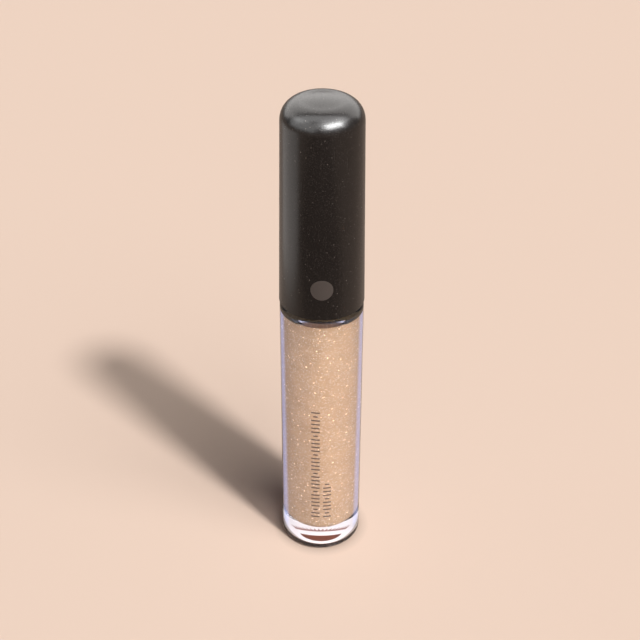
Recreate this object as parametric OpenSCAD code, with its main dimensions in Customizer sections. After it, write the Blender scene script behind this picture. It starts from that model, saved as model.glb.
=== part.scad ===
/* [Vial] */
// Outside diameter of the clear vial
vial_d = 16; // [15.5:0.5:20]
// Height from the base to the flat of the shoulder
vial_h = 57; // [45:1:90]
// Diameter of the bore that holds the gloss and the wiper
cavity_d = 9.4; // [9:0.1:10]
// Solid clear thickness under the gloss
base_t = 4.2; // [2.4:0.2:6]
// Rounding of the bottom edge
heel_r = 1; // [0.6:0.1:1.4]
// Rounding of the shoulder edge
shoulder_r = 1.1; // [0.6:0.1:1.4]
// Diameter of the round recess in the underside
recess_d = 12; // [10:0.5:12.5]
// Depth of the round recess in the underside
recess_t = 0.5; // [0.3:0.1:0.8]
// Number of grip notches around the base ring
notches = 40; // [24:4:60]

/* [Neck and thread] */
// Neck diameter between the thread ridges
neck_d = 11.5; // [11.5:0.1:11.8]
// Height of the neck above the shoulder
neck_h = 11; // [10:0.5:13]
// Rise of the thread in one turn
pitch = 2.1; // [2:0.1:2.4]
// How far a ridge stands up from its wall
ridge_h = 0.7; // [0.5:0.05:0.7]
// Turns of thread on the neck and in the cap
thread_turns = 1.5; // [1.25:0.25:1.5]
// Height above the shoulder where the neck thread starts
thread_start = 2.6; // [2.2:0.1:3]
// Free space between neck and cap threads
thread_gap = 0.15; // [0.12:0.01:0.2]

/* [Gloss and wiper] */
// Gap between the gloss surface and the top of the shoulder
fill_gap = 3; // [0.5:0.5:8]
// Diameter of the hole the wand is wiped in
wipe_d = 4.1; // [4.1:0.05:4.4]
// Thickness of the wiper flange on the lip
flange_t = 0.7; // [0.5:0.1:1]

/* [Cap] */
// Height of the outer cap
cap_h = 41.2; // [34:0.2:60]
// Cap diameter at its open end
cap_d = 16.2; // [16.2:0.1:18]
// Cap diameter where the top rounding starts
cap_top_d = 15.1; // [14.9:0.1:16]
// Radius of the top rounding
cap_round = 3.8; // [2:0.2:4]
// Rise of the slightly crowned top
cap_crown = 0.4; // [0.1:0.1:0.5]
// Gap between the shoulder and the cap
cap_gap = 0.2; // [0.1:0.05:0.3]
// Diameter of the plain round dot on the cap
emblem_d = 4.2; // [3:0.2:6]
// Height of the emblem centre above the open end of the cap
emblem_z = 6.6; // [4:0.2:20]

/* [Wand] */
// Stem diameter
stem_d = 3.4; // [3:0.1:3.5]
// Diameter over the flocked tip
tip_d = 3.8; // [3.6:0.05:3.8]
// Length of the flocked tip
tip_l = 13.5; // [10:0.5:16]
// Gap between the tip and the bottom of the gloss
tip_gap = 2.6; // [1:0.2:5]
// Pile height of the flocking
flock_t = 0.3; // [0.2:0.05:0.35]
// Slope of the slanted face of the tip in degrees
tip_slope = 12; // [6:1:14]

/* [Print and label] */
// Number of bars in the long printed column
bars_long = 29; // [4:1:34]
// Number of bars in the short printed column
bars_short = 10; // [2:1:12]
// Distance between printed bars
bar_step = 0.95; // [0.8:0.05:1.2]
// Height of each printed bar
bar_t = 0.28; // [0.2:0.02:0.5]
// Height of the lowest bar
bar_z = 8.9; // [6:0.1:10]

/* [Hidden] */
$fn = 96;
seat = 0.02;
vr = vial_d / 2;
cr = cavity_d / 2;
nr = neck_d / 2;
lip_z = vial_h + neck_h;
fill_z = vial_h - fill_gap;
face_z = lip_z + flange_t + seat;
face_t = 0.25;
foam_z = face_z + face_t + seat;
foam_t = 0.8;
deck_z = foam_z + foam_t + seat;
deck_t = 1.2;
socket_h = 6;
socket_z = deck_z + deck_t + socket_h;
in_bore = nr + ridge_h + thread_gap;
in_wall = 0.6;
in_r = in_bore + in_wall;
spline_h = 0.18;
cap_z = vial_h + cap_gap;
skirt_z = vial_h + 0.4;
top_z = cap_z + cap_h;
side_z = top_z - cap_crown - cap_round;
in_r2 = in_r - 0.45;
tip_z = base_t + tip_gap;
tip_top = tip_z + tip_l;
label_t = 0.15;
print_t = 0.04;
foil_t = 0.06;
plug_d = 1.6;
plug_l = 5;

function arc_pts(cx, cz, r, a0, a1, n) =
    [for (i = [0 : n]) let (a = a0 + (a1 - a0) * i / n) [cx + r * cos(a), cz + r * sin(a)]];

// radius of the tapered cap wall at a height
function cap_r(z) = cap_d / 2 + (cap_top_d - cap_d) / 2 * (z - cap_z) / (side_z - cap_z);

// ring of four corners at each step of a thread ridge, low at both ends
function ridge_pts(rin, win, rout, wout, z0, turns, steps, free_out) =
    [for (i = [0 : steps])
        let (t = i / steps)
        let (a = 360 * turns * t)
        let (z = z0 + pitch * turns * t)
        let (k = max(0.05, min(1, min(t, 1 - t) * steps / 4)))
        let (ri = free_out ? rin : rout - (rout - rin) * k)
        let (ro = free_out ? rin + (rout - rin) * k : rout)
        each [
            [ri * cos(a), ri * sin(a), z - win / 2],
            [ro * cos(a), ro * sin(a), z - wout / 2],
            [ro * cos(a), ro * sin(a), z + wout / 2],
            [ri * cos(a), ri * sin(a), z + win / 2]
        ]
    ];

function ridge_faces(steps) = concat(
    [[3, 2, 1, 0]],
    [for (i = [0 : steps - 1], j = [0 : 3]) [4 * i + j, 4 * i + (j + 1) % 4, 4 * i + 4 + (j + 1) % 4]],
    [for (i = [0 : steps - 1], j = [0 : 3]) [4 * i + j, 4 * i + 4 + (j + 1) % 4, 4 * i + 4 + j]],
    [[4 * steps, 4 * steps + 1, 4 * steps + 2, 4 * steps + 3]]
);

module ridge(rin, win, rout, wout, z0, free_out) {
    steps = round(24 * thread_turns);
    polyhedron(
        points = ridge_pts(rin, win, rout, wout, z0, thread_turns, steps, free_out),
        faces = ridge_faces(steps)
    );
}

module vial() {
    outline = concat(
        [[0, 0]],
        arc_pts(vr - heel_r, heel_r, heel_r, -90, 0, 8),
        arc_pts(vr - shoulder_r, vial_h - shoulder_r, shoulder_r, 0, 90, 8),
        [[nr + 0.3, vial_h], [nr, vial_h + 0.3], [nr, lip_z - 0.3], [nr - 0.3, lip_z], [0, lip_z]]
    );
    color([0.86, 0.88, 0.95, 0.35])
        union() {
            difference() {
                rotate_extrude()
                    polygon(outline);
                translate([0, 0, base_t + 1.2])
                    cylinder(r = cr, h = lip_z);
                rotate_extrude()
                    polygon(concat(
                        [[0, base_t]],
                        arc_pts(cr - 1.2, base_t + 1.2, 1.2, -90, 0, 6),
                        [[0, base_t + 1.2]]
                    ));
                translate([0, 0, lip_z - 3])
                    cylinder(r = cr + 0.2, h = 1);
                translate([0, 0, -1])
                    cylinder(d = recess_d, h = 1 + recess_t);
                for (i = [0 : notches - 1])
                    rotate([0, 0, (i + 0.5) * 360 / notches])
                        translate([recess_d / 2 + 0.25, -0.15, -0.5])
                            cube([0.5, 0.3, 0.7]);
            }
            ridge(nr - 0.25, 1.15, nr + ridge_h, 0.5, vial_h + thread_start, true);
        }
}

module gloss_fill() {
    color([0.86, 0.7, 0.6])
        difference() {
            union() {
                translate([0, 0, base_t + 1.2])
                    cylinder(r = cr, h = fill_z - base_t - 1.2);
                rotate_extrude()
                    polygon(concat(
                        [[0, base_t]],
                        arc_pts(cr - 1.2, base_t + 1.2, 1.2, -90, 0, 6),
                        [[0, base_t + 1.2]]
                    ));
            }
            translate([0, 0, tip_z + tip_d / 2])
                cylinder(d = tip_d + 0.3, h = fill_z);
            translate([0, 0, tip_z + tip_d / 2])
                sphere(d = tip_d + 0.3);
        }
}

module wiper() {
    color([0.93, 0.93, 0.91])
        rotate_extrude()
            polygon([
                [nr - 0.4, lip_z], [nr - 0.4, lip_z + flange_t], [cr - 0.7, lip_z + flange_t],
                [cr - 0.95, lip_z + flange_t - 0.3], [cr - 0.95, lip_z - 4.6], [wipe_d / 2, lip_z - 7],
                [wipe_d / 2, lip_z - 7.7], [wipe_d / 2 + 0.45, lip_z - 7.7],
                [wipe_d / 2 + 0.6, lip_z - 7.1], [cr - 0.3, lip_z - 4.9], [cr - 0.01, lip_z - 4.5],
                [cr - 0.01, lip_z - 2.95], [cr + 0.15, lip_z - 2.7], [cr + 0.15, lip_z - 2.4],
                [cr - 0.01, lip_z - 2.1], [cr - 0.01, lip_z]
            ]);
}

module base_label() {
    color([0.58, 0.33, 0.25])
        translate([0, 0, recess_t - label_t])
            cylinder(d = recess_d - 0.6, h = label_t);
}

// thin printed patch on the vial wall, centred on an angle left or right of the front
module bar(angle, z, wide, tall) {
    rotate([0, 0, angle])
        intersection() {
            difference() {
                translate([0, 0, z])
                    cylinder(r = vr + print_t, h = tall);
                translate([0, 0, z - 1])
                    cylinder(r = vr, h = tall + 2);
            }
            translate([-wide / 2, -vr - 1, z - 0.5])
                cube([wide, 3, tall + 1]);
        }
}

module vial_print() {
    color([0.4, 0.29, 0.26])
        union() {
            for (i = [0 : bars_long - 1])
                bar(-8.1, bar_z + i * bar_step, i % 5 == 2 ? 0.9 : 1.7, bar_t);
            for (i = [0 : bars_short - 1])
                bar(8.7, bar_z + i * bar_step, i % 4 == 1 ? 0.9 : 1.6, bar_t);
        }
}

module liner_ring(z, t, col) {
    color(col)
        translate([0, 0, z])
            difference() {
                cylinder(r = nr - 0.45, h = t);
                translate([0, 0, -1])
                    cylinder(r = 2.3, h = t + 2);
            }
}

module liner_face() {
    liner_ring(face_z, face_t, [0.9, 0.9, 0.88]);
}

module liner_foam() {
    liner_ring(foam_z, foam_t, [0.97, 0.97, 0.96]);
}

module inner_cap() {
    color([0.12, 0.11, 0.11])
        union() {
            difference() {
                union() {
                    translate([0, 0, skirt_z])
                        cylinder(r = in_r, h = deck_z + deck_t - skirt_z);
                    translate([0, 0, deck_z + deck_t])
                        cylinder(r = 2.9, h = socket_h);
                    for (i = [0 : 23])
                        rotate([0, 0, i * 15])
                            translate([in_r - 0.2, -0.3, skirt_z + 1])
                                cube([0.2 + spline_h, 0.6, deck_z + deck_t - skirt_z - 1]);
                }
                translate([0, 0, skirt_z - 1])
                    cylinder(r = in_bore, h = deck_z - skirt_z + 1);
                cylinder(r = 2.02, h = top_z);
            }
            rotate([0, 0, 108])
                ridge(nr + thread_gap, 0.5, in_bore + 0.25, 1.15, vial_h + thread_start - 0.2 * pitch, false);
        }
}

module cap_shell() {
    shell = concat(
        [[cap_d / 2 - 0.15, cap_z], [cap_d / 2, cap_z + 0.15]],
        arc_pts(cap_top_d / 2 - cap_round, side_z, cap_round, 0, 85, 12),
        [for (i = [5 : -1 : 0]) let (f = i / 6) [
            (cap_top_d / 2 - cap_round) * f,
            top_z - cap_crown * f * f
        ]],
        [[0, top_z - 1.4], [cap_top_d / 2 - cap_round, top_z - 1.7]],
        [[in_r2 - 1.2, side_z + 1.6], [in_r2, side_z - 0.4]],
        [[in_r2, deck_z + deck_t + seat], [in_r + spline_h + seat, deck_z + deck_t + seat]],
        [[in_r + spline_h + seat, cap_z]]
    );
    color([0.2, 0.17, 0.16])
        union() {
            rotate_extrude()
                polygon(shell);
            for (i = [0 : 5])
                rotate([0, 0, i * 60 + 30])
                    translate([3, -0.4, deck_z + deck_t + seat])
                        cube([in_r2 - 3 + 0.2, 0.8, 14]);
        }
}

module cap_emblem() {
    z0 = cap_z + emblem_z - emblem_d;
    z1 = cap_z + emblem_z + emblem_d;
    lo = max(z0, cap_z + 0.2);
    color([0.32, 0.28, 0.27])
        intersection() {
            rotate_extrude()
                polygon([
                    [cap_r(lo) + seat, lo], [cap_r(lo) + foil_t, lo],
                    [cap_r(z1) + foil_t, z1], [cap_r(z1) + seat, z1]
                ]);
            translate([0, 0, cap_z + emblem_z])
                rotate([90, 0, 0])
                    cylinder(d = emblem_d, h = cap_d);
        }
}

module wand_stem() {
    color([0.93, 0.93, 0.92])
        difference() {
            union() {
                translate([0, 0, tip_top])
                    cylinder(d = stem_d, h = deck_z - tip_top);
                translate([0, 0, deck_z])
                    cylinder(r = 2, h = socket_z - deck_z);
                translate([0, 0, socket_z])
                    cylinder(r = 2.6, h = 0.9);
            }
            translate([0, 0, tip_top - 1])
                cylinder(d = plug_d + 0.02, h = plug_l + 1.2);
        }
}

// round-ended rod with one slanted face, for the tip core and its flocking
module tip_form(d, z0, top, cut) {
    difference() {
        union() {
            translate([0, 0, z0 + d / 2])
                cylinder(d = d, h = top - z0 - d / 2);
            translate([0, 0, z0 + d / 2])
                sphere(d = d);
        }
        translate([0, -cut, tip_z])
            rotate([tip_slope, 0, 0])
                translate([-5, -10, -5])
                    cube([10, 10, 5 + tip_l * 0.62]);
    }
}

module applicator_core() {
    color([0.9, 0.88, 0.86])
        union() {
            tip_form(tip_d - 2 * flock_t, tip_z + flock_t, tip_top, 0.15);
            translate([0, 0, tip_top])
                cylinder(d = plug_d, h = plug_l);
        }
}

module applicator_flock() {
    color([0.96, 0.9, 0.86])
        difference() {
            tip_form(tip_d, tip_z, tip_top, 0.15 + flock_t);
            tip_form(tip_d - 2 * flock_t, tip_z + flock_t, tip_top + 1, 0.15);
        }
}

vial();
gloss_fill();
wiper();
base_label();
vial_print();
liner_face();
liner_foam();
inner_cap();
cap_shell();
cap_emblem();
wand_stem();
applicator_core();
applicator_flock();
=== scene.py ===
import bpy
import bmesh
import math
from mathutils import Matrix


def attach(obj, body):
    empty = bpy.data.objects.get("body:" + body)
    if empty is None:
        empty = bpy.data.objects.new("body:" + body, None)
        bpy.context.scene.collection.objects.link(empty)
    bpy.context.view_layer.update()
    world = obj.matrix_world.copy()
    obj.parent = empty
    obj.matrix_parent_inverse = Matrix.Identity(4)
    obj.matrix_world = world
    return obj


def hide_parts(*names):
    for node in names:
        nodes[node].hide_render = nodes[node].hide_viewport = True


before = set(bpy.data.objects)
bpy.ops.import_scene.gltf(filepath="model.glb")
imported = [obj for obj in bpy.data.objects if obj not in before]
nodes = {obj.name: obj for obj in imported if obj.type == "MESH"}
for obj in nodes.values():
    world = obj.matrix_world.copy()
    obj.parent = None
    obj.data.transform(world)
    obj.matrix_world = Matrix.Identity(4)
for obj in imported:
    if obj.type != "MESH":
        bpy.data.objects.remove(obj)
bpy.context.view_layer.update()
print("frame loaded", sorted(nodes))


# helpers for working by hand; outlines and blocks are given in millimetres

def clearSelection():
    if bpy.context.object and bpy.context.object.mode != "OBJECT":
        bpy.ops.object.mode_set(mode="OBJECT")
    bpy.ops.object.select_all(action="DESELECT")


def makeActive(piece):
    clearSelection()
    piece.select_set(True)
    bpy.context.view_layer.objects.active = piece


def applyPlace():
    bpy.ops.object.transform_apply(location=True, rotation=True, scale=True)
    return bpy.context.object


def startEdit(piece):
    makeActive(piece)
    bpy.ops.object.mode_set(mode="EDIT")
    bpy.ops.mesh.select_mode(type="VERT")


def endEdit():
    bpy.ops.object.mode_set(mode="OBJECT")


def pickVerts(piece, test):
    mesh = bmesh.from_edit_mesh(piece.data)
    for vert in mesh.verts:
        vert.select = bool(test(vert.co))
    mesh.select_flush_mode()
    bmesh.update_edit_mesh(piece.data)


def tidyMesh():
    bpy.ops.mesh.select_all(action="SELECT")
    bpy.ops.mesh.remove_doubles(threshold=0.000002)
    bpy.ops.mesh.normals_make_consistent(inside=False)


def arcPoints(x, z, radius, start, end, steps):
    angles = [math.radians(start + (end - start) * i / steps) for i in range(steps + 1)]
    return [(x + radius * math.cos(a), z + radius * math.sin(a)) for a in angles]


def drawOutline(name, points):  # one vertex, extruded from point to point
    clearSelection()
    x, z = points[0]
    bpy.ops.mesh.primitive_plane_add(size=0.0001, location=(x / 1000, 0, z / 1000))
    piece = applyPlace()
    piece.name = piece.data.name = name
    startEdit(piece)
    bpy.ops.mesh.select_all(action="SELECT")
    bpy.ops.mesh.merge(type="CENTER")
    for before, after in zip(points, points[1:]):
        step = ((after[0] - before[0]) / 1000, 0, (after[1] - before[1]) / 1000)
        bpy.ops.mesh.extrude_vertices_move(TRANSFORM_OT_translate={"value": step})
    endEdit()
    return piece


def roundCorners(piece, corners):  # (r, z, reach, segments) of each corner of the outline
    startEdit(piece)
    for r, z, reach, segments in corners:
        pickVerts(piece, lambda co: abs(co.x - r / 1000) < 3e-6 and abs(co.z - z / 1000) < 3e-6)
        bpy.ops.mesh.bevel(offset=reach / 1000, offset_type="OFFSET", segments=segments, affect="VERTICES")
    endEdit()


def spinRound(piece, steps):
    startEdit(piece)
    bpy.ops.mesh.select_all(action="SELECT")
    bpy.ops.mesh.spin(steps=steps, angle=2 * math.pi, center=(0, 0, 0), axis=(0, 0, 1))
    tidyMesh()
    endEdit()


def addBlock(place, size):  # by its middle and its three sides
    clearSelection()
    middle, sides = [v / 1000 for v in place], [v / 1000 for v in size]
    bpy.ops.mesh.primitive_cube_add(size=1, location=middle, scale=sides)
    return applyPlace()


def smooth(piece, degrees):
    makeActive(piece)
    bpy.ops.object.shade_smooth_by_angle(angle=math.radians(degrees))


def useModifier(piece, kind, **values):
    makeActive(piece)
    modifier = piece.modifiers.new(kind.title(), kind)
    for key, value in values.items():
        setattr(modifier, key, value)
    bpy.ops.object.modifier_apply(modifier=modifier.name)


def useBoolean(piece, tool, operation, solver="EXACT"):  # the tool is used up
    useModifier(piece, "BOOLEAN", object=tool, operation=operation, solver=solver)
    bpy.data.objects.remove(tool)


def joinPieces(main, others):
    clearSelection()
    for other in others:
        other.select_set(True)
    main.select_set(True)
    bpy.context.view_layer.objects.active = main
    bpy.ops.object.join()
    return main


def turnCopies(piece, count, offset=0.0):  # copies turned about the tube's axis, each with its own mesh
    copies = []
    for i in range(1, count):
        makeActive(piece)
        bpy.ops.object.duplicate(linked=False)
        copy = bpy.context.object
        copy.rotation_euler = (0, 0, 2 * math.pi * i / count + offset)
        copies.append(copy)
    piece.rotation_euler = (0, 0, offset)
    makeActive(joinPieces(piece, copies))
    return applyPlace()


def threadSection(root, crest, middle, foot, side):  # side is 1 for an outside thread, -1 for an inside one
    half = [(root, foot), (root + side * 0.25, 0.5), (crest - side * 0.1, 0.28), (crest, 0.18)]
    return [(r, middle - side * z) for r, z in half] + [(r, middle + side * z) for r, z in reversed(half)]


def helixRidge(name, corners, spec):  # corners are (r, z) of the ridge's section at its start
    piece = drawOutline(name, corners)
    startEdit(piece)
    bpy.ops.mesh.select_all(action="SELECT")
    bpy.ops.mesh.edge_face_add()
    steps = round(spec["turns"] * spec["stepsPerTurn"])
    size = spec["thinStart"]
    root = corners[0][0] / 1000
    rise = spec["pitch"] / 1000 / spec["stepsPerTurn"]
    turn = 2 * math.pi / spec["stepsPerTurn"]
    angle = math.radians(spec["startDegrees"])
    height = (corners[0][1] + corners[-1][1]) / 2000
    centre = lambda: (root * math.cos(angle), root * math.sin(angle), height)
    bpy.ops.transform.rotate(value=-angle, orient_axis="Z", center_override=(0, 0, 0))
    bpy.ops.transform.resize(value=(size, size, size), center_override=centre())
    for i in range(steps):  # the ridge grows from a thin start and fades out again
        wanted = min(1, spec["thinStart"] + min(i + 1, steps - i - 1) / spec["fadeSteps"])
        bpy.ops.mesh.extrude_region_move(TRANSFORM_OT_translate={"value": (0, 0, rise)})
        bpy.ops.transform.rotate(value=-turn, orient_axis="Z", center_override=(0, 0, 0))
        angle, height = angle + turn, height + rise
        scale = wanted / size
        bpy.ops.transform.resize(value=(scale, scale, scale), center_override=centre())
        size = wanted
    tidyMesh()
    endEdit()
    return piece


# helpers for shader nodes

def plug(tree, socket, value):  # a socket is linked, a number, place or colour is set
    if isinstance(value, bpy.types.NodeSocket):
        tree.links.new(value, socket)
    elif socket.type == "RGBA":
        socket.default_value = (*value[:3], 1.0)
    else:
        socket.default_value = value


def plugAll(tree, node, sockets):
    for key, value in sockets.items():
        plug(tree, node.inputs[key], value)


def addNode(tree, kind, sockets, **values):
    node = tree.nodes.new("ShaderNode" + kind)
    for key, value in values.items():
        setattr(node, key, value)
    plugAll(tree, node, sockets)
    return node


def mathNode(tree, operation, a, b=None, clamp=False):
    sockets = {0: a} if b is None else {0: a, 1: b}
    return addNode(tree, "Math", sockets, operation=operation, use_clamp=clamp).outputs[0]


def plus(tree, a, b, clamp=False):
    return mathNode(tree, "ADD", a, b, clamp)


def minus(tree, a, b):
    return mathNode(tree, "SUBTRACT", a, b)


def flip(tree, value):
    return minus(tree, 1.0, value)


def times(tree, first, *others):
    for other in others:
        first = mathNode(tree, "MULTIPLY", first, other)
    return first


def ramp(tree, value, start, wide):  # 0 up to start, 1 from start + wide on
    return mathNode(tree, "DIVIDE", minus(tree, value, start), wide, clamp=True)


def sumOfSquares(tree, a, b):
    return plus(tree, times(tree, a, a), times(tree, b, b))


def mixColor(tree, factor, a, b):
    return addNode(tree, "Mix", {0: factor, 6: a, 7: b}, data_type="RGBA").outputs[2]


def vectorNode(tree, operation, sockets):
    return addNode(tree, "VectorMath", sockets, operation=operation).outputs[0]


def newGroup(name, inputs, outputs):
    group = bpy.data.node_groups.new(name, "ShaderNodeTree")
    for label, kind, value in inputs:
        socket = group.interface.new_socket(label, in_out="INPUT", socket_type="NodeSocket" + kind)
        if value is not None:
            socket.default_value = value
    for label, kind in outputs:
        group.interface.new_socket(label, in_out="OUTPUT", socket_type="NodeSocket" + kind)
    return group, group.nodes.new("NodeGroupInput").outputs, group.nodes.new("NodeGroupOutput")


def makeFlakeGroup():
    # tiny flat flakes, each with its own tilt; Share is how many of the cells hold a flake
    group, given, end = newGroup(
        "flakes",
        [("Vector", "Vector", None), ("Size mm", "Float", 0.2), ("Share", "Float", 0.3),
         ("Tilt", "Float", 0.5)],
        [("Mask", "Float"), ("Random", "Float"), ("Normal", "Vector")])
    scale = mathNode(group, "DIVIDE", 1000.0, given["Size mm"])
    cells = addNode(group, "TexVoronoi", {"Vector": given["Vector"], "Scale": scale}, feature="F1")
    cells = cells.outputs["Color"]
    parts = addNode(group, "SeparateColor", {0: cells}).outputs
    mask = mathNode(group, "GREATER_THAN", parts[0], flip(group, given["Share"]))
    spread = vectorNode(group, "SUBTRACT", {0: cells, 1: (0.5, 0.5, 0.5)})
    lean = vectorNode(group, "SCALE", {0: spread, "Scale": times(group, mask, given["Tilt"])})
    surface = addNode(group, "NewGeometry", {}).outputs["Normal"]
    normal = vectorNode(group, "NORMALIZE", {0: vectorNode(group, "ADD", {0: surface, 1: lean})})
    plugAll(group, end, {"Mask": mask, "Random": parts[1], "Normal": normal})
    return group


def makeSurfaceGroup():
    # moulded or lacquered surface: slow colour drift, fine height grain and uneven roughness
    group, given, end = newGroup(
        "surfaceGrain",
        [("Vector", "Vector", None), ("Color", "Color", (0.5, 0.5, 0.5, 1)), ("Drift", "Float", 0.1),
         ("Roughness", "Float", 0.4), ("Uneven", "Float", 0.08), ("Grain mm", "Float", 0.15)],
        [("Color", "Color"), ("Roughness", "Float"), ("Height", "Float")])
    slow = addNode(group, "TexNoise", {"Vector": given["Vector"], "Scale": 160.0, "Detail": 3.0}).outputs[0]
    scale = mathNode(group, "DIVIDE", 1000.0, given["Grain mm"])
    fine = addNode(group, "TexNoise", {"Vector": given["Vector"], "Scale": scale, "Detail": 4.0}).outputs[0]
    drift = times(group, minus(group, slow, 0.5), times(group, given["Drift"], 2.0))
    color = vectorNode(group, "SCALE", {0: given["Color"], "Scale": plus(group, drift, 1.0)})
    both = plus(group, times(group, fine, 0.6), times(group, slow, 0.4))
    swing = times(group, minus(group, both, 0.5), given["Uneven"], 2.0)
    rough = plus(group, given["Roughness"], swing, clamp=True)
    plugAll(group, end, {"Color": color, "Roughness": rough, "Height": fine})
    return group


def makeWearGroup():
    # light handling marks: short hairlines in two directions and a few dust specks
    group, given, end = newGroup(
        "handlingMarks",
        [("Vector", "Vector", None), ("Hairlines", "Float", 0.3), ("Dust", "Float", 0.1)],
        [("Hairlines", "Float"), ("Dust", "Float")])
    lines = []
    for turn, stretch in (((0.5, 0.2, 0.4), (3200, 3200, 90)), ((0.2, -0.6, 1.3), (2600, 120, 2600))):
        place = addNode(group, "Mapping", {"Vector": given["Vector"], "Rotation": turn, "Scale": stretch})
        noise = addNode(group, "TexNoise", {"Vector": place.outputs[0], "Scale": 1.0, "Detail": 1.0})
        lines.append(ramp(group, noise.outputs[0], 0.7, 1 / 9))
    patches = addNode(group, "TexNoise", {"Vector": given["Vector"], "Scale": 210.0}).outputs[0]
    scratched = times(group, mathNode(group, "MAXIMUM", *lines), ramp(group, patches, 0.45, 0.2))
    cells = addNode(group, "TexVoronoi", {"Vector": given["Vector"], "Scale": 1300.0}, feature="F1").outputs
    near = mathNode(group, "LESS_THAN", cells["Distance"], 0.13)
    parts = addNode(group, "SeparateColor", {0: cells["Color"]}).outputs
    few = mathNode(group, "GREATER_THAN", parts[2], flip(group, given["Dust"]))
    plugAll(group, end, {
        "Hairlines": times(group, scratched, given["Hairlines"]), "Dust": times(group, near, few)})
    return group


flakeGroup = makeFlakeGroup()
surfaceGroup = makeSurfaceGroup()
wearGroup = makeWearGroup()


def newFinish(name, sockets):
    finish = bpy.data.materials.new(name)
    finish.use_nodes = True
    tree = finish.node_tree
    shader = tree.nodes["Principled BSDF"]
    plugAll(tree, shader, sockets)
    return finish, tree, shader, addNode(tree, "TexCoord", {}).outputs["Object"]


def addGrain(tree, shader, place, look):
    grain = addNode(tree, "Group", {
        "Vector": place, "Color": look["color"], "Drift": look["drift"], "Roughness": look["roughness"],
        "Uneven": look["uneven"], "Grain mm": look["grain"]}, node_tree=surfaceGroup).outputs
    bump = addNode(tree, "Bump", {
        "Height": grain["Height"], "Distance": look["depth"] / 1000, "Strength": 1.0})
    plugAll(tree, shader, {
        "Base Color": grain["Color"], "Roughness": grain["Roughness"], "Normal": bump.outputs[0]})
    return grain, bump


def addFlakes(tree, place, look, kind):  # kind is flake or sparkle, as in the look's own values
    return addNode(tree, "Group", {
        "Vector": place, "Size mm": look[kind + "Size"], "Share": look[kind + "Share"],
        "Tilt": look[kind + "Tilt"]}, node_tree=flakeGroup).outputs


def shineOf(tree, flakes, sharpness):  # a few flakes show strongly, most hardly at all
    return mathNode(tree, "POWER", times(tree, flakes["Mask"], flakes["Random"]), sharpness)


def addWear(tree, place, hairlines, dust):
    return addNode(tree, "Group", {
        "Vector": place, "Hairlines": hairlines, "Dust": dust}, node_tree=wearGroup).outputs


lookNames = ("color", "drift", "roughness", "uneven", "grain", "depth")  # grain and depth in millimetres
plasticLooks = {
    "wiperPlastic": ((0.86, 0.86, 0.82), 0.03, 0.42, 0.1, 0.2, 0.004),
    "innerPlastic": ((0.018, 0.016, 0.016), 0.1, 0.36, 0.12, 0.12, 0.004),
    "stemPlastic": ((0.84, 0.83, 0.8), 0.03, 0.28, 0.08, 0.3, 0.003),
    "corePlastic": ((0.78, 0.74, 0.7), 0.05, 0.5, 0.1, 0.15, 0.006),
    "linerFilm": ((0.84, 0.84, 0.82), 0.02, 0.3, 0.1, 0.4, 0.003),
    "linerCore": ((0.9, 0.9, 0.88), 0.04, 0.75, 0.15, 0.08, 0.02),
    "printInk": ((0.12, 0.075, 0.058), 0.15, 0.45, 0.1, 0.05, 0.003),
    "emblemInk": ((0.052, 0.042, 0.038), 0.08, 0.36, 0.08, 0.08, 0.002),
    "flockPile": ((0.82, 0.64, 0.53), 0.12, 0.9, 0.1, 0.06, 0.05),
}
softPlastic = {"Subsurface Radius": (0.6, 0.6, 0.55), "Subsurface Scale": 0.001}
extraSockets = {
    "wiperPlastic": {"Subsurface Weight": 0.35, **softPlastic},
    "stemPlastic": {"Subsurface Weight": 0.2, **softPlastic},
    "flockPile": {"Sheen Weight": 0.5, "Sheen Roughness": 0.4},
}
finishes = {}
for finishName, values in plasticLooks.items():
    finish, tree, shader, place = newFinish(finishName, extraSockets.get(finishName, {}))
    addGrain(tree, shader, place, dict(zip(lookNames, values)))
    finishes[finishName] = finish
print("plastic finishes ready")

lacquer = {
    "ior": 1.5, "color": (0.0055, 0.0038, 0.0032), "drift": 0.12, "roughness": 0.26, "uneven": 0.03,
    "grain": 0.09, "depth": 0.0004, "hairlines": 0.12, "dust": 0.004, "dustColor": (0.6, 0.56, 0.52),
    "flakeSize": 0.1, "flakeShare": 0.4, "flakeTilt": 0.13, "flakeShow": 0.06, "flakeSharp": 4.0,
    "sparkleSize": 0.15, "sparkleShare": 0.005, "sparkleTilt": 1.0, "sparkleShow": 0.42, "sparkleSharp": 2.0,
    "flakeColor": (0.42, 0.37, 0.34), "flakeMetal": 0.85, "dustShow": 0.25, "wearRough": 0.3,
}


def makeLacquer():
    c = lacquer
    finish, tree, shader, place = newFinish("capLacquer", {"IOR": c["ior"]})
    grain, bump = addGrain(tree, shader, place, c)
    flakes = addFlakes(tree, place, c, "flake")
    sparkles = addFlakes(tree, place, c, "sparkle")
    fine = times(tree, shineOf(tree, flakes, c["flakeSharp"]), c["flakeShow"])
    bright = times(tree, shineOf(tree, sparkles, c["sparkleSharp"]), c["sparkleShow"])
    glint = mathNode(tree, "MAXIMUM", fine, bright)
    color = mixColor(tree, glint, grain["Color"], c["flakeColor"])
    plug(tree, bump.inputs["Normal"], flakes["Normal"])
    wear = addWear(tree, place, c["hairlines"], c["dust"])
    scuffs = times(tree, mathNode(tree, "MAXIMUM", wear["Hairlines"], wear["Dust"]), c["wearRough"])
    plugAll(tree, shader, {
        "Base Color": mixColor(tree, times(tree, wear["Dust"], c["dustShow"]), color, c["dustColor"]),
        "Metallic": times(tree, glint, c["flakeMetal"]),
        "Roughness": plus(tree, grain["Roughness"], scuffs, clamp=True)})
    return finish


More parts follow.
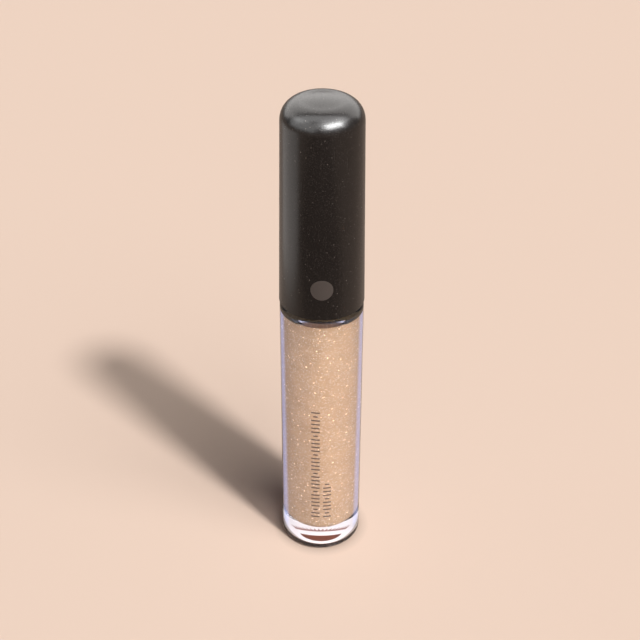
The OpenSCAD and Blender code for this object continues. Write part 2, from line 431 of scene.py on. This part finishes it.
gloss = {
    "ior": 1.48, "color": (0.76, 0.475, 0.262), "deepColor": (0.61, 0.365, 0.192),
    "pearlColor": (0.82, 0.585, 0.4), "pearlShow": 0.35, "cloudScale": 420.0, "swirlScale": 130.0,
    "roughness": 0.34, "roughSpread": 0.12,
    "flakeSize": 0.15, "flakeShare": 0.32, "flakeTilt": 0.6, "flakeSharp": 2.0, "flakeShow": 0.8,
    "flakeMetal": 0.5, "flakeColor": (1.0, 0.86, 0.68), "sparkleSize": 0.24, "sparkleShare": 0.045,
    "sparkleTilt": 1.0, "sparkleSharp": 3.0, "sparkleGlow": 1.1, "sparkleGlintColor": (1.0, 0.86, 0.62),
}


def makeGloss():
    c = gloss
    finish, tree, shader, place = newFinish("glossPearl", {"IOR": c["ior"], "Emission Strength": 1.0})
    cloud = addNode(tree, "TexNoise", {
        "Vector": place, "Scale": c["cloudScale"], "Detail": 6.0, "Roughness": 0.7}).outputs[0]
    spread = ramp(tree, cloud, 0.3, 0.4)
    swirl = addNode(tree, "TexNoise", {
        "Vector": place, "Scale": c["swirlScale"], "Distortion": 1.5}).outputs[0]
    color = mixColor(tree, spread, c["deepColor"], c["color"])
    color = mixColor(tree, times(tree, swirl, c["pearlShow"]), color, c["pearlColor"])
    flakes = addFlakes(tree, place, c, "flake")
    glint = shineOf(tree, flakes, c["flakeSharp"])
    # painted glints: a few sparkles glow by emission
    spark = shineOf(tree, addFlakes(tree, place, c, "sparkle"), c["sparkleSharp"])
    plugAll(tree, shader, {
        "Base Color": mixColor(tree, times(tree, glint, c["flakeShow"]), color, c["flakeColor"]),
        "Emission Color": mixColor(tree, times(tree, spark, c["sparkleGlow"]), (0, 0, 0), c["sparkleGlintColor"]),
        "Metallic": times(tree, glint, c["flakeMetal"]),
        "Roughness": plus(tree, c["roughness"], times(tree, spread, c["roughSpread"])),
        "Normal": flakes["Normal"]})
    return finish


clearWall = {
    "ior": 1.555, "roughness": 0.012, "hairlines": 0.12, "footScuffs": 0.12, "shadow": (0.14, 0.135, 0.145),
    "faceTint": (0.985, 0.985, 1.0), "edgeTintAndReflection": (0.44, 0.5, 0.78), "edgeBlend": 0.35,
    # painted light on the lilac rim of the outer skin above the base: partly the plastic's own blue tint,
    # partly a painted reflection with an emitted glow; seen from nearly above, the wall is clear again
    "rimPaintedGlow": (0.15, 0.18, 0.33), "rimStart": 0.60, "rimFade": 1 / 12, "rimEnd": 0.80, "steepFade": 1 / 14,
    "steepTint": (0.86, 0.84, 0.86), "skinRadius": 7.4, "glowLow": 3.2, "glowFade": 2.0,
    # painted shade: brownish band on the bore wall just above the gloss level, for the gloss shaded under
    # the cap
    "boreShadeTint": (0.62, 0.42, 0.29), "filmLow": 53.9, "filmHigh": 57.0, "filmFade": 0.3,
    # painted shade: dark ring at the foot, taller towards the edges, for the shaded floor seen through the
    # heel
    "footShadeTint": (0.16, 0.135, 0.13), "footFront": 0.75, "footSide": 3.95, "footFade": 0.35,
    # the cap's dark rim mirrored in the shoulder
    "topTint": (0.012, 0.014, 0.013), "topLow": 56.35, "topFade": 0.12, "topTurn": 0.13, "topTurnWide": 0.2,
    "topSide": 1.0,
}


def makeClearWall():
    c = clearWall
    finish, tree, shader, place = newFinish("clearWall", {
        "IOR": c["ior"], "Transmission Weight": 1.0, "Emission Strength": 1.0})
    edge = addNode(tree, "LayerWeight", {"Blend": c["edgeBlend"]}).outputs["Facing"]
    turned = addNode(tree, "LayerWeight", {"Blend": 0.5}).outputs["Facing"]
    behind = addNode(tree, "NewGeometry", {}).outputs["Backfacing"]
    x, y, z = addNode(tree, "SeparateXYZ", {0: place}).outputs
    height = times(tree, z, 1000.0)
    skin = ramp(tree, sumOfSquares(tree, x, y), c["skinRadius"] ** 2 / 1e6, 1e-6)  # 1 on the outer skin
    steep = ramp(tree, turned, c["rimEnd"], c["steepFade"])
    rim = times(tree, ramp(tree, turned, c["rimStart"], c["rimFade"]), flip(tree, behind), flip(tree, steep))
    reach = plus(tree, times(tree, turned, c["footSide"] - c["footFront"]), c["footFront"])
    # painted shade: the foot ring turns dark, taller towards the edges
    foot = ramp(tree, reach, height, c["footFade"])
    side = times(tree, ramp(tree, turned, c["topTurn"], c["topTurnWide"]), c["topSide"])
    top = times(tree, ramp(tree, plus(tree, height, side), c["topLow"], c["topFade"]), skin)
    # painted shade: brownish band on the inner wall above the gloss level
    film = times(tree, ramp(tree, height, c["filmLow"], c["filmFade"]),
                 ramp(tree, c["filmHigh"], height, c["filmFade"]), flip(tree, skin))
    # painted light: the lilac rim glows by emission above the base
    glow = times(tree, rim, skin, ramp(tree, height, c["glowLow"], c["glowFade"]), flip(tree, top))
    # the wall turns lilac towards its edges: partly its own tint, partly a painted reflection
    tint = mixColor(tree, edge, c["faceTint"], c["edgeTintAndReflection"])
    for mask, color in ((rim, "edgeTintAndReflection"), (steep, "steepTint"), (foot, "footShadeTint"), (film, "boreShadeTint"),
                        (top, "topTint")):
        tint = mixColor(tree, mask, tint, c[color])
    wear = addWear(tree, place, c["hairlines"], 0.0)
    scuffs = plus(tree, wear["Hairlines"], times(tree, foot, c["footScuffs"]))
    plugAll(tree, shader, {
        "Base Color": tint, "Roughness": plus(tree, c["roughness"], scuffs),
        "Emission Color": mixColor(tree, glow, (0, 0, 0), c["rimPaintedGlow"])})
    path = addNode(tree, "LightPath", {}).outputs
    through = addNode(tree, "BsdfTransparent", {0: c["shadow"]})  # how dark the wall's shadow is
    mix = addNode(tree, "MixShader", {0: path["Is Shadow Ray"], 1: shader.outputs[0], 2: through.outputs[0]})
    plug(tree, tree.nodes["Material Output"].inputs["Surface"], mix.outputs[0])
    return finish


baseLabel = {
    "radius": 5.7, "low": 0.35, "high": 0.505, "steps": 96, "softEdge": 1 / 12,
    "paper": (0.80, 0.765, 0.775), "ink": (0.125, 0.03, 0.014), "line": (0.26, 0.13, 0.12),
    "drift": 0.18, "roughness": 0.4, "grain": 0.12,
    "spotRadius": 2.75, "spotCentre": -1.6, "spotCut": -0.95,  # copper spot with a straight upper edge
    "arcCentre": -4.6, "arcRadius": 6.3, "arcWide": 0.55, "arcReach": 2.7, "teeth": 140, "toothDepth": 1.1,
}


def makeLabelFinish():
    b = baseLabel
    finish, tree, shader, place = newFinish("labelFilm", {})
    x, y, z = addNode(tree, "SeparateXYZ", {0: place}).outputs
    x, y = times(tree, x, 1000.0), times(tree, y, 1000.0)

    def reachFrom(centre):
        away = minus(tree, y, centre)
        return mathNode(tree, "SQRT", sumOfSquares(tree, x, away)), away

    def under(value, limit):  # 1 where the value is under the limit, with a soft printed edge
        return ramp(tree, limit, value, b["softEdge"])

    reach, away = reachFrom(b["spotCentre"])
    spot = times(tree, under(reach, b["spotRadius"]), under(y, b["spotCut"]))
    reach, away = reachFrom(b["arcCentre"])
    around = times(tree, mathNode(tree, "ARCTAN2", x, away), b["teeth"] / (2 * math.pi))
    tooth = times(tree, mathNode(tree, "PINGPONG", around, 0.5), 2 * b["toothDepth"])
    arcLow, arcHigh = b["arcRadius"] - b["arcWide"] / 2, b["arcRadius"] + b["arcWide"] / 2
    arc = times(tree, under(reach, plus(tree, tooth, arcHigh)), under(arcLow, reach),
                under(mathNode(tree, "ABSOLUTE", x), b["arcReach"]))
    printed = mixColor(tree, spot, mixColor(tree, arc, b["paper"], b["line"]), b["ink"])
    grain = addNode(tree, "Group", {
        "Vector": place, "Color": printed, "Drift": b["drift"], "Roughness": b["roughness"],
        "Grain mm": b["grain"]}, node_tree=surfaceGroup).outputs
    plugAll(tree, shader, {"Base Color": grain["Color"], "Roughness": grain["Roughness"]})
    return finish


finishes["capLacquer"] = makeLacquer()
finishes["glossPearl"] = makeGloss()
finishes["clearWall"] = makeClearWall()
finishes["labelFilm"] = makeLabelFinish()
print("lacquer, gloss and clear wall ready")


def setFinish(piece, finishName):
    piece.data.materials.clear()
    piece.data.materials.append(finishes[finishName])


def placePiece(piece, body, finishName, node):
    setFinish(piece, finishName)
    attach(piece, body)
    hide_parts(node)
    return piece


# vial

vial = {
    "outer": 8.0, "shoulder": 57.0, "lip": 68.0, "neck": 5.75, "bore": 4.7, "floor": 4.2,
    "recess": 6.0, "recessDepth": 0.5, "heel": 1.0, "shoulderRound": 1.1, "floorRound": 1.2,
    "grooveLow": 65.0, "grooveHigh": 66.0, "grooveDepth": 0.2, "notches": 40, "notchSize": (0.5, 0.3, 0.4),
    "threadUp": 2.6, "threadDeep": 0.25, "threadOut": 0.7, "threadFoot": 0.6, "steps": 160,
}
thread = {
    "pitch": 2.1, "turns": 1.5, "startDegrees": 0, "stepsPerTurn": 64, "fadeSteps": 9, "thinStart": 0.05,
}


def makeVial():
    v = vial
    outer, shoulder, neck, lip, bore = v["outer"], v["shoulder"], v["neck"], v["lip"], v["bore"]
    recess, deep, groove = v["recess"], v["recessDepth"], v["bore"] + v["grooveDepth"]
    wall = drawOutline("vialWall", [
        (0, deep), (recess, deep), (recess, 0), (outer, 0), (outer, shoulder), (neck, shoulder), (neck, lip),
        (bore, lip), (bore, v["grooveHigh"]), (groove, v["grooveHigh"]), (groove, v["grooveLow"]),
        (bore, v["grooveLow"]), (bore, v["floor"]), (0, v["floor"])])
    roundCorners(wall, [
        (recess, deep, 0.12, 3), (recess, 0, 0.15, 4), (outer, 0, v["heel"], 12),
        (outer, shoulder, v["shoulderRound"], 14), (neck, shoulder, 0.35, 5), (neck, lip, 0.3, 5),
        (bore, lip, 0.2, 4), (bore, v["floor"], v["floorRound"], 12)])
    spinRound(wall, v["steps"])
    section = threadSection(
        neck - v["threadDeep"], neck + v["threadOut"], shoulder + v["threadUp"], v["threadFoot"], 1)
    useBoolean(wall, helixRidge("neckThread", section, thread), "UNION")
    notch = addBlock((recess + v["notchSize"][0], 0, 0), v["notchSize"])
    useBoolean(wall, turnCopies(notch, v["notches"], math.pi / v["notches"]), "DIFFERENCE")
    smooth(wall, 28)
    return wall


vialWall = placePiece(makeVial(), "bottle", "clearWall", "vial")
print("vial done", len(vialWall.data.polygons))

fill = {
    "radius": 4.715, "bottom": 4.185, "level": 53.65, "climb": 0.5, "climbWide": 0.9, "climbPower": 2.4,
    "round": 1.2, "steps": 128,
}


def makeFill():
    f = fill
    radius, level = f["radius"], f["level"]
    shares = [i / 8 for i in range(9)]  # from the wall inwards
    edge = [(radius - f["climbWide"] * s, level + f["climb"] * (1 - s) ** f["climbPower"]) for s in shares]
    body = drawOutline("glossBody", [(0, f["bottom"]), (radius, f["bottom"]), *edge, (0, level)])
    roundCorners(body, [(radius, f["bottom"], f["round"], 12)])
    spinRound(body, f["steps"])
    smooth(body, 40)
    return body


glossBody = placePiece(makeFill(), "bottle", "glossPearl", "gloss_fill")
print("gloss done")

# cap

cap = {
    "open": 57.2, "top": 98.4, "bottomR": 8.1, "sideTop": 94.2, "sideTopR": 7.55, "round": 3.8, "crown": 0.4,
    "bore": 7.4, "step": 71.03, "upperBore": 6.75, "roof": 1.4, "roofSide": 1.7, "edgeRound": 0.16,
    "ribs": 6, "ribSize": (3.9, 0.8, 14), "ribMiddle": 4.95, "ribRound": 0.15, "steps": 160,
}


def makeCap():
    c = cap
    top = c["sideTopR"] - c["round"]
    crown = [(top * i / 8, c["top"] - c["crown"] * (i / 8) ** 2) for i in range(7, -1, -1)]
    side = arcPoints(top, c["sideTop"], c["round"], 0, 85, 28)
    shell = drawOutline("capShell", [
        (c["bore"], c["open"]), (c["bottomR"], c["open"]), *side, *crown, (0, c["top"] - c["roof"]),
        (top, c["top"] - c["roofSide"]), (c["upperBore"] - 1.2, c["sideTop"] + 1.6),
        (c["upperBore"], c["sideTop"] - 0.4), (c["upperBore"], c["step"]), (c["bore"], c["step"]),
        (c["bore"], c["open"])])
    roundCorners(shell, [(c["bottomR"], c["open"], c["edgeRound"], 5)])
    spinRound(shell, c["steps"])
    rib = addBlock((c["ribMiddle"], 0, c["step"] + c["ribSize"][2] / 2), c["ribSize"])
    useModifier(rib, "BEVEL", width=c["ribRound"] / 1000, segments=2)
    joinPieces(shell, [turnCopies(rib, c["ribs"], math.radians(30))])
    smooth(shell, 25)
    return shell


placePiece(makeCap(), "cap", "capLacquer", "cap_shell")
print("cap done")

emblem = {"height": 63.8, "size": 4.2, "low": 0.02, "high": 0.06, "steps": 96}


def makeEmblem():  # round dot that follows the tapered side of the cap
    e = emblem
    slope = (cap["sideTopR"] - cap["bottomR"]) / (cap["sideTop"] - cap["open"])
    wall = lambda z, out: (cap["bottomR"] + slope * (z - cap["open"]) + out, z)
    low, high = e["height"] - e["size"] * 0.6, e["height"] + e["size"] * 0.6
    band = drawOutline("emblemDot", [
        wall(low, e["low"]), wall(low, e["high"]), wall(high, e["high"]), wall(high, e["low"]),
        wall(low, e["low"])])
    spinRound(band, cap["steps"])
    clearSelection()
    bpy.ops.mesh.primitive_cylinder_add(
        vertices=e["steps"], radius=e["size"] / 2000, depth=0.004, location=(0, -0.0085, e["height"] / 1000),
        rotation=(math.pi / 2, 0, 0))
    useBoolean(band, applyPlace(), "INTERSECT")
    smooth(band, 30)
    return band


placePiece(makeEmblem(), "cap", "emblemInk", "cap_emblem")

innerCap = {
    "skirt": 57.4, "bore": 6.6, "radius": 7.2, "deck": 69.81, "deckTop": 71.01, "socket": 2.9,
    "socketTop": 77.01, "hole": 2.02, "splines": 24, "splineHeight": 0.18, "splineWidth": 0.6,
    "splineRound": 0.12, "threadLow": 59.18, "threadDegrees": 108, "threadDeep": 0.25, "threadIn": 5.9,
    "threadFoot": 0.58, "steps": 144,
}


def makeInnerCap():
    c = innerCap
    skirt, bore, radius, deck, deckTop = c["skirt"], c["bore"], c["radius"], c["deck"], c["deckTop"]
    socket, socketTop, hole = c["socket"], c["socketTop"], c["hole"]
    whole = drawOutline("innerCap", [
        (bore, skirt), (radius, skirt), (radius, deckTop), (socket, deckTop), (socket, socketTop),
        (hole, socketTop), (hole, deck), (bore, deck), (bore, skirt)])
    roundCorners(whole, [
        (radius, skirt, 0.12, 3), (radius, deckTop, 0.25, 4), (socket, deckTop, 0.3, 4),
        (socket, socketTop, 0.15, 3), (hole, socketTop, 0.1, 2), (bore, deck, 0.3, 4)])
    spinRound(whole, c["steps"])
    tall = deckTop - skirt - 1.3
    size = (c["splineHeight"] * 2, c["splineWidth"], tall)
    spline = addBlock((radius - 0.01, 0, skirt + 1 + tall / 2), size)
    useModifier(spline, "BEVEL", width=c["splineRound"] / 1000, segments=3)
    spline = turnCopies(spline, c["splines"])
    section = threadSection(bore + c["threadDeep"], c["threadIn"], c["threadLow"], c["threadFoot"], -1)
    ridge = helixRidge("capThread", section, dict(thread, startDegrees=c["threadDegrees"]))
    joinPieces(whole, [spline, ridge])
    smooth(whole, 28)
    return whole


placePiece(makeInnerCap(), "cap", "innerPlastic", "inner_cap")
print("inner cap done")

# wiper, liner and base label; heights of the wiper count from the lip of the neck

wiper = {
    "lip": 68.0, "flange": 5.35, "thick": 0.7, "bore": 4.7, "free": 0.01, "well": 3.75, "wellDeep": 4.6,
    "hole": 2.05, "tipTop": 7.0, "tipLow": 7.7, "bead": 4.85, "beadTop": 2.4, "beadLow": 2.7, "steps": 128,
}


def makeWiper():
    w = wiper
    lip, flange, hole, bead, well = w["lip"], w["flange"], w["hole"], w["bead"], w["well"]
    top, wellLow = lip + w["thick"], lip - w["wellDeep"]
    tipTop, tipLow = lip - w["tipTop"], lip - w["tipLow"]
    beadTop, beadLow = lip - w["beadTop"], lip - w["beadLow"]
    side, mouth = w["bore"] - w["free"], w["bore"] - 0.7
    insert = drawOutline("wiperInsert", [
        (flange, lip), (flange, top), (mouth, top), (well, top - 0.3), (well, wellLow), (hole, tipTop),
        (hole, tipLow), (hole + 0.45, tipLow), (hole + 0.6, tipLow + 0.6), (w["bore"] - 0.3, wellLow - 0.3),
        (side, wellLow + 0.1), (side, beadLow - 0.25), (bead, beadLow), (bead, beadTop),
        (side, beadTop + 0.3), (side, lip), (flange, lip)])
    roundCorners(insert, [
        (flange, top, 0.2, 5), (mouth, top, 0.08, 3), (well, wellLow, 0.5, 6), (hole, tipTop, 0.15, 4),
        (hole + 0.45, tipLow, 0.12, 4), (bead, beadLow, 0.1, 3), (bead, beadTop, 0.1, 3)])
    spinRound(insert, w["steps"])
    smooth(insert, 35)
    return insert


placePiece(makeWiper(), "bottle", "wiperPlastic", "wiper")

liner = {
    "inner": 2.3, "outer": 5.3, "filmLow": 68.72, "filmHigh": 68.97, "filmRound": 0.05,
    "foamLow": 68.99, "foamHigh": 69.79, "foamRound": 0.12, "steps": 96,
}


def makeRing(name, low, high, edge):
    inner, outer = liner["inner"], liner["outer"]
    ring = drawOutline(name, [(inner, low), (outer, low), (outer, high), (inner, high), (inner, low)])
    roundCorners(ring, [(outer, low, edge, 3), (outer, high, edge, 3), (inner, high, edge, 3)])
    spinRound(ring, liner["steps"])
    smooth(ring, 35)
    return ring


film = makeRing("linerFilmRing", liner["filmLow"], liner["filmHigh"], liner["filmRound"])
placePiece(film, "lift_ring", "linerFilm", "liner_face")
foam = makeRing("linerFoamRing", liner["foamLow"], liner["foamHigh"], liner["foamRound"])
placePiece(foam, "rise_ring", "linerCore", "liner_foam")


def makeBaseLabel():
    b = baseLabel
    disc = drawOutline("baseLabel", [
        (0, b["low"]), (b["radius"], b["low"]), (b["radius"], b["high"]), (0, b["high"])])
    spinRound(disc, b["steps"])
    smooth(disc, 35)
    return disc


baseLabelPiece = placePiece(makeBaseLabel(), "bottle", "labelFilm", "base_label")
print("wiper, liner and label done")

# wand

stem = {
    "radius": 1.7, "low": 20.3, "deck": 69.81, "cone": 0.6, "plug": 2.0, "head": 2.6, "socketTop": 77.01,
    "top": 77.91, "bore": 0.81, "boreDepth": 5.2, "steps": 96,
}


def makeStem():
    t = stem
    radius, low, coneLow, head = t["radius"], t["low"], t["deck"] - t["cone"], t["head"]
    boreTop = low + t["boreDepth"]
    rod = drawOutline("wandStem", [
        (0, boreTop), (t["bore"], boreTop), (t["bore"], low), (radius, low), (radius, coneLow),
        (t["plug"], t["deck"]), (t["plug"], t["socketTop"]), (head, t["socketTop"]), (head, t["top"]),
        (0, t["top"])])
    roundCorners(rod, [
        (radius, low, 0.2, 4), (radius, coneLow, 0.4, 4), (head, t["socketTop"], 0.1, 3),
        (head, t["top"], 0.25, 5)])
    spinRound(rod, t["steps"])
    smooth(rod, 35)
    return rod


placePiece(makeStem(), "cap", "stemPlastic", "wand_stem")

tip = {
    "radius": 1.9, "low": 6.8, "length": 13.5, "flock": 0.3, "plug": 0.8, "plugLength": 5.0,
    "slope": 12, "cut": 0.15, "cutLow": -5, "cutHigh": 8.37,  # the slanted face, from the tip's low end
    "fibreRows": 1500, "fibreTurn": 137.508, "fibreLength": 0.12, "fibreWide": 0.045, "fibreLean": 0.35,
    "coreSteps": 64, "coatSteps": 80,
}


def makeTipForm(name, flock, steps, keepPlug):  # flock is how far the form stays inside the coat's surface
    t = tip
    radius, low, top = t["radius"] - flock, t["low"] + flock, t["low"] + t["length"]
    points = [(0, low)] + arcPoints(0, low + radius, radius, -84, 0, 14) + [(radius, top)]
    if keepPlug:
        points += [(t["plug"], top), (t["plug"], top + t["plugLength"]), (0, top + t["plugLength"])]
    else:
        points += [(0, top)]
    form = drawOutline(name, points)
    spinRound(form, steps)
    block = addBlock((0, -5, (t["cutLow"] + t["cutHigh"]) / 2), (10, 10, t["cutHigh"] - t["cutLow"]))
    startEdit(block)
    bpy.ops.mesh.select_all(action="SELECT")
    bpy.ops.transform.rotate(value=-math.radians(t["slope"]), orient_axis="X", center_override=(0, 0, 0))
    depth = t["cut"] + t["flock"] - flock
    bpy.ops.transform.translate(value=(0, -depth / 1000, t["low"] / 1000))
    endEdit()
    useModifier(form, "BOOLEAN", object=block, operation="DIFFERENCE", solver="EXACT")
    return form, block


tipCore, block = makeTipForm("applicatorCore", tip["flock"], tip["coreSteps"], True)
bpy.data.objects.remove(block)
smooth(tipCore, 35)
placePiece(tipCore, "cap", "corePlastic", "applicator_core")


def makeFlock():
    t = tip
    coat, block = makeTipForm("applicatorFlock", 0, t["coatSteps"], False)
    inner, innerBlock = makeTipForm("innerForm", t["flock"], t["coreSteps"], False)
    bpy.data.objects.remove(innerBlock)
    startEdit(inner)
    pickVerts(inner, lambda co: co.z > (t["low"] + t["length"] - 0.01) / 1000)
    bpy.ops.transform.translate(value=(0, 0, 0.001))
    endEdit()
    useBoolean(coat, inner, "DIFFERENCE")
    clearSelection()  # one fibre, then copies in a spiral round the tip
    bpy.ops.mesh.primitive_cone_add(
        vertices=3, radius1=t["fibreWide"] / 1000, radius2=t["fibreWide"] / 3000,
        depth=t["fibreLength"] / 1000,
        location=((t["radius"] + 0.02) / 1000, 0, (t["low"] + t["radius"]) / 1000),
        rotation=(0, math.pi / 2 - t["fibreLean"], 0))
    fibre = applyPlace()
    rise = (t["length"] - t["radius"] - 0.15) / 1000 / t["fibreRows"]
    bpy.ops.object.empty_add(location=(0, 0, rise), rotation=(0, 0, math.radians(t["fibreTurn"])))
    step = bpy.context.object
    bpy.context.view_layer.update()
    useModifier(fibre, "ARRAY", count=t["fibreRows"], use_relative_offset=False, use_object_offset=True,
                offset_object=step)
    bpy.data.objects.remove(step)
    useBoolean(fibre, block, "DIFFERENCE", "FAST")
    smooth(coat, 40)
    return joinPieces(coat, [fibre])


placePiece(makeFlock(), "cap", "flockPile", "applicator_flock")
setFinish(nodes["vial_print"], "printInk")
print("wand done")

# floor, light and camera

stageLook = {
    "floor": (0.60, 0.4665, 0.3915), "floorThrough": (0.43, 0.45, 0.62), "floorMirror": (0.33, 0.257, 0.215),
    "ambient": 0.05, "mirrorAmbient": 0.22, "sky": (0.847, 0.658, 0.552),
    "contactInner": 7.4, "contactOuter": 10.2, "contactPower": 0.6, "contactDark": 0.6,
}


def makeStage():
    s = stageLook
    clearSelection()
    bpy.ops.mesh.primitive_plane_add(size=60, location=(0, 0, 0))
    floor = bpy.context.object
    floor.name = "studioFloor"
    finish, tree, shader, place = newFinish("studioPaper", {"Roughness": 0.95, "Specular IOR Level": 0.0})
    x, y, z = addNode(tree, "SeparateXYZ", {0: place}).outputs
    reach = mathNode(tree, "SQRT", sumOfSquares(tree, x, y))
    away = ramp(tree, reach, s["contactInner"] / 1000, (s["contactOuter"] - s["contactInner"]) / 1000)
    away = mathNode(tree, "POWER", away, s["contactPower"])
    dark = tuple(c * s["contactDark"] for c in s["floor"])
    path = addNode(tree, "LightPath", {}).outputs
    paper = mixColor(tree, away, dark, s["floor"])  # soft contact shade round the foot
    # painted reflection and light: the floor shows darker in reflections, and lilac when seen through the
    # clear wall
    paper = mixColor(tree, path["Is Glossy Ray"], paper, s["floorMirror"])
    paper = mixColor(tree, path["Is Transmission Ray"], paper, s["floorThrough"])
    plug(tree, shader.inputs["Base Color"], paper)
    floor.data.materials.append(finish)
    world = bpy.context.scene.world or bpy.data.worlds.new("studio")
    bpy.context.scene.world = world
    world.use_nodes = True
    tree = world.node_tree
    tree.nodes.clear()
    path = addNode(tree, "LightPath", {}).outputs
    color = mixColor(tree, path["Is Glossy Ray"], (s["ambient"],) * 3, (s["mirrorAmbient"],) * 3)
    color = mixColor(tree, path["Is Camera Ray"], color, s["sky"])
    back = addNode(tree, "Background", {0: color})
    addNode(tree, "OutputWorld", {0: back.outputs[0]})


def linkGroup(name, pieces, state):
    group = bpy.data.collections.new(name)
    for i, piece in enumerate(pieces):
        group.objects.link(piece)
        group.collection_objects[i].light_linking.link_state = state
    return group


def addLamp(kind, name, place, direction, color):  # direction is where the light comes from
    clearSelection()
    bpy.ops.object.light_add(type=kind, location=place)
    lamp = bpy.context.object
    lamp.name = name
    lamp.data.color = color
    x, y, z = direction
    lamp.rotation_euler = (math.acos(z / math.sqrt(x * x + y * y + z * z)), 0, math.atan2(x, -y))
    return lamp


def addSun(name, direction, strength, angle, color, only, clear):
    lamp = addLamp("SUN", name, (0.3, -0.3, 0.6), direction, color)
    lamp.data.energy = strength
    lamp.data.angle = math.radians(angle)
    lamp.visible_glossy = bool(only)
    lit = linkGroup(name + "Lit", only or insidePieces, "INCLUDE" if only else "EXCLUDE")
    lamp.light_linking.receiver_collection = lit
    if clear:
        lamp.light_linking.blocker_collection = linkGroup(name + "Clear", clear, "EXCLUDE")


def addCard(name, place, aim, width, height, brightness, color):  # soft card that only reflections show
    lamp = addLamp("AREA", name, place, [place[i] - aim[i] for i in range(3)], color)
    lamp.data.shape = "RECTANGLE"
    lamp.data.size, lamp.data.size_y = width, height
    lamp.data.energy = brightness * math.pi * width * height
    lamp.visible_camera = lamp.visible_diffuse = lamp.visible_shadow = False
    unlit = linkGroup(name + "Lit", (*insidePieces, vialWall), "EXCLUDE")
    lamp.light_linking.receiver_collection = unlit


def addFlag(name, place, width, height, brightness):  # board that only reflections show
    clearSelection()
    bpy.ops.mesh.primitive_plane_add(size=1, location=place)
    flag = bpy.context.object
    flag.name = name
    flag.scale = (width, height, 1)
    applyPlace()
    finish = newFinish(name + "Board", {
        "Roughness": 1.0, "Base Color": (0, 0, 0), "Specular IOR Level": 0.0, "Emission Color": brightness,
        "Emission Strength": 1.0})[0]
    flag.data.materials.append(finish)
    flag.visible_camera = flag.visible_diffuse = flag.visible_transmission = flag.visible_shadow = False


makeStage()
insidePieces = (glossBody, baseLabelPiece)
allPieces = [piece for piece in bpy.data.objects if piece.type == "MESH" and piece != baseLabelPiece]
white, warm, cream = (1, 1, 1), (1.0, 0.985, 0.96), (1, 0.965, 0.935)
keySide, capMiddle = (0.420, -0.472, 0.775), (0, 0, 0.09)

# the wall bends the light for what is inside it, so the gloss and the label have suns of their own
suns = [  # name, where from, strength, angle, colour, the only pieces it lights, what it passes through
    ("keySun", keySide, 3.2, 6.5, warm, (), ()),
    ("softSun", keySide, 2.4, 45.0, warm, (), ()),
    ("glossSun", (0.84, -0.44, 0.42), 1.12, 20.0, warm, (glossBody,), (vialWall,)),
    ("glossFill", (-0.75, -0.45, 0.45), 1.7, 100.0, (1, 0.99, 1), (glossBody,), (vialWall, glossBody)),
    ("labelSun", (0.25, -0.3, 0.9), 3.6, 30.0, white, (baseLabelPiece,), allPieces),
]
cards = [  # name, place, what it faces, width, height, brightness, colour
    ("leftCard", (-0.082, 0.010, 0.0405), (0, 0.010, 0.0405), 0.100, 0.066, 0.84, white),
    ("backCard", (0, 0.586, 0.582), capMiddle, 3.2, 0.88, 2.6, cream),
    ("topCard", (0, -0.2, 1.0), (0, -0.2, 0.09), 3.4, 0.6, 3.5, white),
    ("sideCard", (-0.52, -0.36, 0.42), capMiddle, 1.1, 0.6, 2.5, white),
    ("frontCard", (0.262, -0.362, 0.42), capMiddle, 0.44, 0.22, 29.0, white),
    ("frontHalo", (0.262, -0.38, 0.50), capMiddle, 0.85, 0.6, 3.0, white),
]
for values in suns:
    addSun(*values)
for values in cards:
    addCard(*values)
addFlag("frontFlag", (-0.016, -0.16, 0.0008), 0.22, 0.22, (0.225, 0.177, 0.15))

camera = {
    "elevation": 33.866, "distance": 0.2635, "look": 0.05201, "sideways": -0.000321, "roll": 0.185,
    "focal": 1375.0, "sensor": 36.0, "imageWide": 640.0,
}


def makeCamera():
    c = camera
    tilt = math.radians(c["elevation"])
    place = (c["sideways"], -c["distance"] * math.cos(tilt), c["look"] + c["distance"] * math.sin(tilt))
    clearSelection()
    bpy.ops.object.camera_add(location=place)
    view = bpy.context.object
    view.name = "studioCamera"
    view.data.sensor_width = c["sensor"]
    view.data.lens = c["sensor"] * c["focal"] / c["imageWide"]
    view.data.clip_start, view.data.clip_end = 0.01, 100.0
    view.data.dof.use_dof = False
    view.rotation_mode = "XYZ"
    view.rotation_euler = (math.pi / 2 - tilt, 0, 0)
    view.rotation_euler.rotate_axis("Z", math.radians(c["roll"]))
    bpy.context.scene.camera = view


makeCamera()
bpy.context.scene.view_settings.view_transform = "Standard"
print("stage and camera ready")

bpy.context.view_layer.update()
